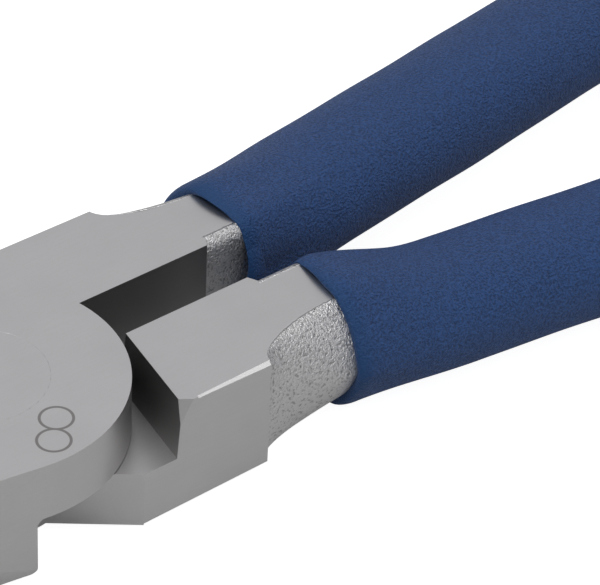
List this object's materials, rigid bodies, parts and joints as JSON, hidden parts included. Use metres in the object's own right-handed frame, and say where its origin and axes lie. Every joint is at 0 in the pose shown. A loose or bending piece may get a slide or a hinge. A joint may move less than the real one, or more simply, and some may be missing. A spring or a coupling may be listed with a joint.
{
  "type": "mosaic glass nippers",
  "caption": "Lap-joint hand nippers with dipped vinyl grips and clamped round carbide cutting wheels that meet edge to edge to split glass tesserae.",
  "frame": {"origin": "on the pivot axis at the flush underside of the rivet and head", "axes": "+Z along the pivot axis towards the upper lever, +X from the pivot to the handles, the cutting wheels on the -X side"},
  "size_m": [0.201, 0.0594, 0.0138],
  "materials": {
    "forged_steel": "fine ground flats, blasted as-forged neck",
    "rivet_steel": "ground flush",
    "vinyl": "dipped soft vinyl, finely pebbled",
    "carbide": "ground sintered tungsten carbide",
    "black_oxide_steel": "black oxide",
    "spring_steel": "bright spring steel"
  },
  "bodies": {
    "lower_lever": {"lower_lever": "forged_steel", "lower_grip": "vinyl", "lower_wheel_screw": "black_oxide_steel", "lower_wheel_washer": "spring_steel", "pivot_rivet": "rivet_steel"},
    "upper_lever": {"upper_lever": "forged_steel", "upper_grip": "vinyl", "upper_wheel_screw": "black_oxide_steel", "upper_wheel_washer": "spring_steel"},
    "lower_wheel": {"lower_cutting_wheel": "carbide"},
    "upper_wheel": {"upper_cutting_wheel": "carbide"}
  },
  "joints": [
    {"name": "lever_pivot", "type": "hinge", "parent": "lower_lever", "child": "upper_lever", "pos_m": [0, 0, 0.006], "axis": [0, 0, 1], "range_deg": [-5, 25]},
    {"name": "lower_wheel_index", "type": "hinge", "parent": "lower_lever", "child": "lower_wheel", "pos_m": [-0.029, 0.0124, 0.0059], "axis": [0, 0, 1], "continuous": true},
    {"name": "upper_wheel_index", "type": "hinge", "parent": "upper_lever", "child": "upper_wheel", "pos_m": [-0.029, -0.0124, 0.0059], "axis": [0, 0, 1], "continuous": true}
  ]
}
